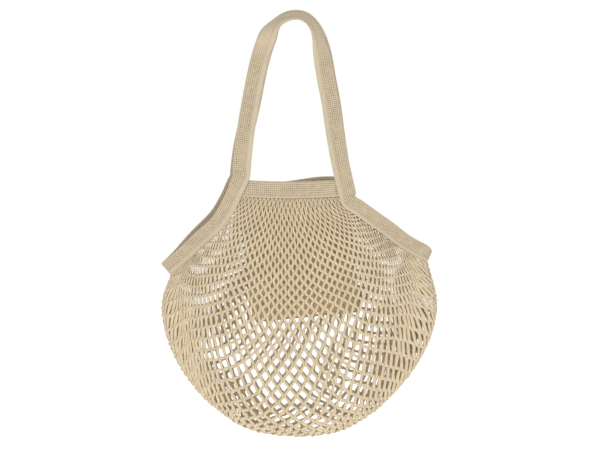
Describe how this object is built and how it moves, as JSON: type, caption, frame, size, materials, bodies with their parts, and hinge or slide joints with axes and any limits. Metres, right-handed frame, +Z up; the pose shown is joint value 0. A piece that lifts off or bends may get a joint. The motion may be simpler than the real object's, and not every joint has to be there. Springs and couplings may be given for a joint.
{
  "type": "string shopping bag",
  "caption": "String shopping bag: a rounded cotton net body with tape-bound arm openings, short rim bands, a flat inner pocket and shoulder straps.",
  "frame": {"origin": "the hang point under the top of the strap arch, midway between the front and back straps", "axes": "+Z up, front face towards -Y, +X to the right seen from the front"},
  "size_m": [0.4036, 0.0767, 0.6233],
  "materials": {
    "cotton_tape": "knitted unbleached cotton tape",
    "cotton_net": "knotless net of unbleached cotton yarn",
    "cotton_cloth": "close cotton cloth"
  },
  "bodies": {
    "root": {"net_body": "cotton_net", "inner_pocket": "cotton_cloth", "rim_band_front": "cotton_tape", "rim_band_back": "cotton_tape", "side_band_left": "cotton_tape", "side_band_right": "cotton_tape", "strap_front": "cotton_tape", "strap_back": "cotton_tape"}
  },
  "joints": []
}
